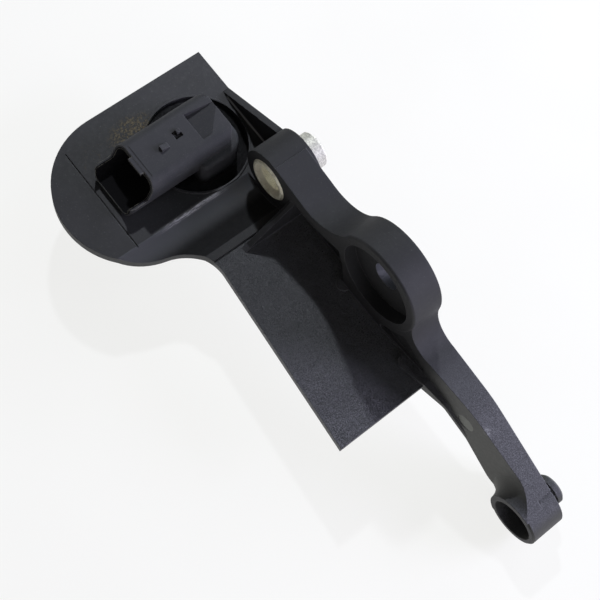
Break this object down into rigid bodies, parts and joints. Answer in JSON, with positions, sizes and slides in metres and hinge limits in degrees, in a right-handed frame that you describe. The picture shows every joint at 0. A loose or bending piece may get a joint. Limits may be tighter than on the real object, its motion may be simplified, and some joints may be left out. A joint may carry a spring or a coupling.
{
  "type": "engine speed sensor",
  "caption": "Engine speed sensor on a black moulded bracket with a steel bolt sleeve, a plug socket, a counterbored ring and a long arm ending in a boss with a locating peg.",
  "frame": {"origin": "where the bolt axis meets the mounting face, which is the ear's rear face", "axes": "+Y along the bolt into the engine, +X along the arm from the bolt towards the locating peg, +Z square to the plate, on the connector's side"},
  "size_m": [0.1329, 0.0536, 0.0435],
  "materials": {
    "bracket_plastic": "fine spark-eroded grain, slightly sparkling",
    "sleeve_steel": "zinc plated, dulled and stained",
    "housing_plastic": "smooth satin",
    "resin": "cast, satin",
    "chip_epoxy": "moulded epoxy",
    "terminal_metal": "tin plated"
  },
  "bodies": {
    "root": {"bracket_body": "bracket_plastic", "mounting_sleeve": "sleeve_steel", "sensor_housing": "housing_plastic", "potting_resin": "resin", "hall_chip": "chip_epoxy", "terminal_left": "terminal_metal", "terminal_middle": "terminal_metal", "terminal_right": "terminal_metal"}
  },
  "joints": []
}
